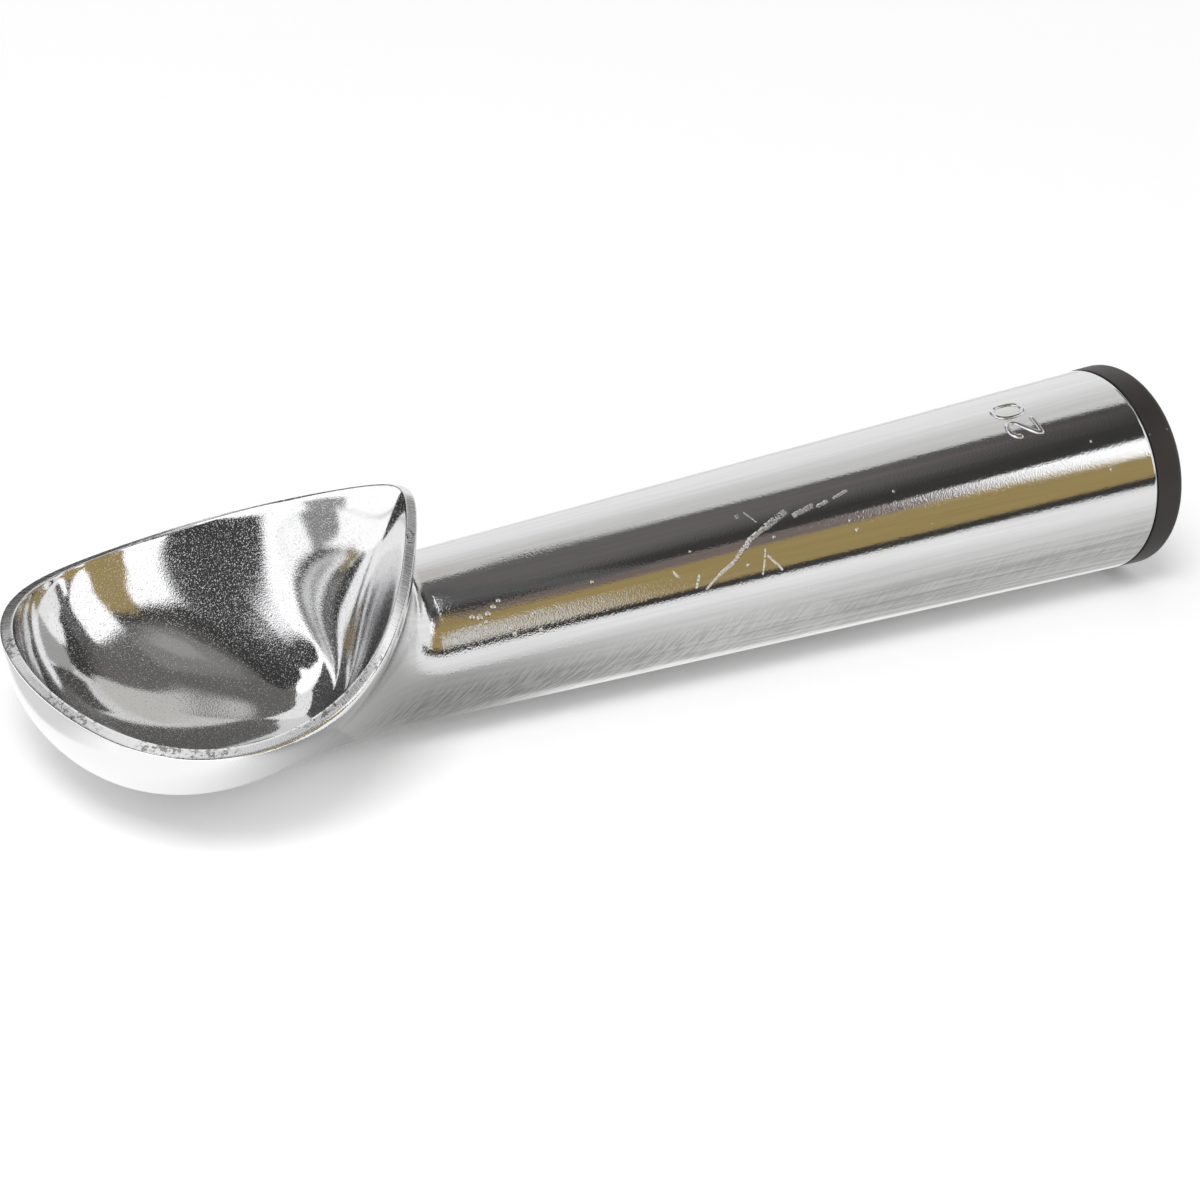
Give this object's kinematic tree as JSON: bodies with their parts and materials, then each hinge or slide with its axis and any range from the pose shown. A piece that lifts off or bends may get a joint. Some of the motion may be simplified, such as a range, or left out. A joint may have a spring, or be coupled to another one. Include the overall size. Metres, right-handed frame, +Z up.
{
  "type": "ice cream scoop",
  "caption": "One-piece cast metal ice cream scoop: egg-shaped bowl with a swept-up heel, round tapered hollow handle, black plastic end cap.",
  "frame": {"origin": "centre of the bounding box at its bottom, on the surface that the scoop lies on", "axes": "+X along the handle from the bowl to the end cap, +Z up out of the bowl, +Y across; the handle's axis rises from bowl to cap by about 1.5 degrees because the scoop rests on the bowl's bottom and the cap's lower edge"},
  "size_m": [0.1796, 0.0552, 0.0351],
  "materials": {
    "cast_aluminium": "polished, worn",
    "heat_liquid": "liquid",
    "plug_aluminium": "turned",
    "seal_rubber": "matte",
    "cap_plastic": "satin"
  },
  "bodies": {
    "root": {"scoop_casting": "cast_aluminium", "heat_fluid": "heat_liquid", "closure_plug": "plug_aluminium", "plug_seal_ring": "seal_rubber", "end_cap": "cap_plastic"}
  },
  "joints": []
}
